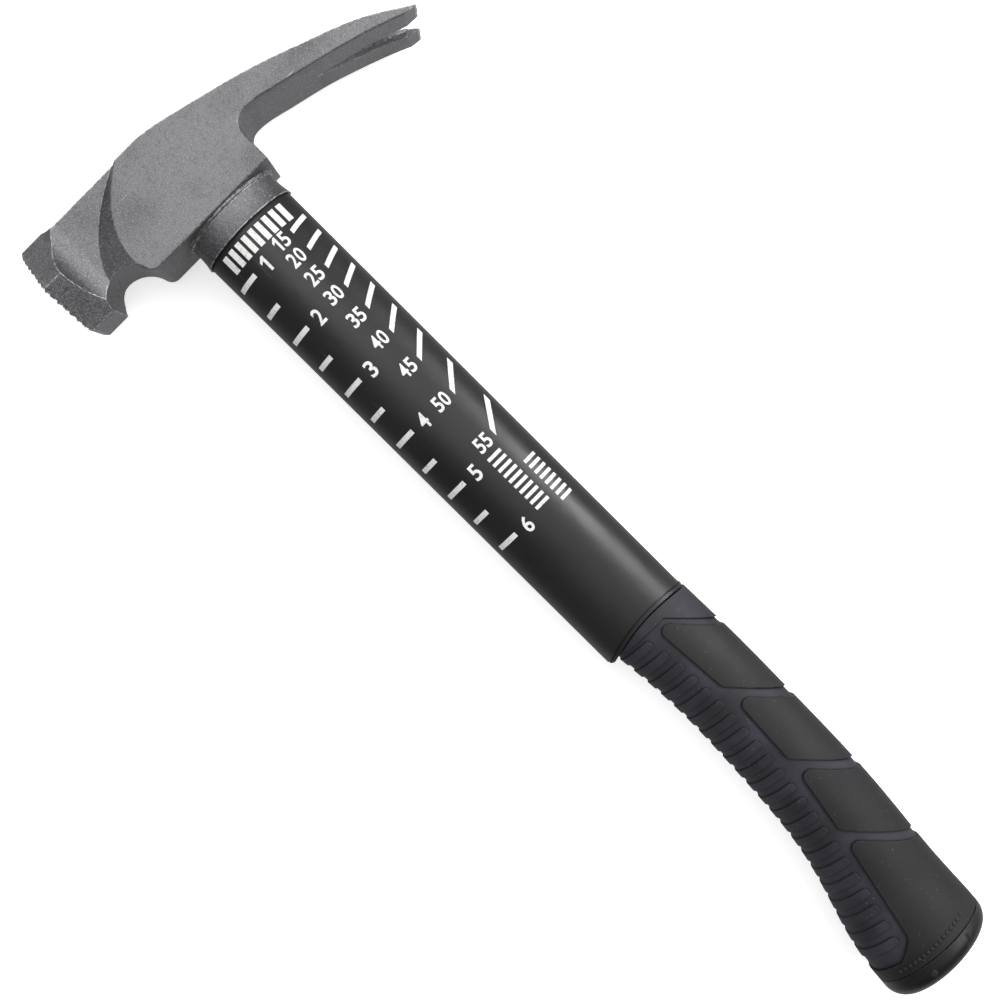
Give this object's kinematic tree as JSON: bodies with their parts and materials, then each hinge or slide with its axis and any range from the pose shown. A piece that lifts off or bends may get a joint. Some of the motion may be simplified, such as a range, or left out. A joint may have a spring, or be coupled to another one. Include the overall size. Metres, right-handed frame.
{
  "type": "framing hammer",
  "caption": "Framing hammer with a milled striking face, a split straight claw, a moulded shaft sleeve with an inch rule and a ribbed rubber grip with a butt cap",
  "frame": {"origin": "where the handle's centre line crosses the plane of the head's underside, which is where the head comes to rest on a belt loop; it lies inside the handle", "axes": "+X runs along the handle from the head to the butt, +Y from the striking face towards the claw, +Z out of the cheek that carries the print side up; Z = 0 is the plane of symmetry"},
  "size_m": [0.4092, 0.1581, 0.04],
  "materials": {
    "cast_titanium": "blasted investment casting with worn edges",
    "nickel_magnet": "nickel plated",
    "epoxy": "cast in place",
    "fibreglass": "pultruded",
    "seal_rubber": "moulded",
    "sleeve_polymer": "moulded, satin, printed on one side",
    "grip_rubber": "moulded, matte",
    "grip_panel_rubber": "moulded, smooth",
    "cap_rubber": "moulded, slightly glossy"
  },
  "bodies": {
    "root": {"hammer_head": "cast_titanium", "nail_magnet": "nickel_magnet", "epoxy_bond": "epoxy", "handle_core": "fibreglass", "collar_seal": "seal_rubber", "handle_sleeve": "sleeve_polymer", "grip_base": "grip_rubber", "grip_panel_1": "grip_panel_rubber", "grip_panel_2": "grip_panel_rubber", "grip_panel_3": "grip_panel_rubber", "grip_panel_4": "grip_panel_rubber", "butt_cap": "cap_rubber"}
  },
  "joints": []
}
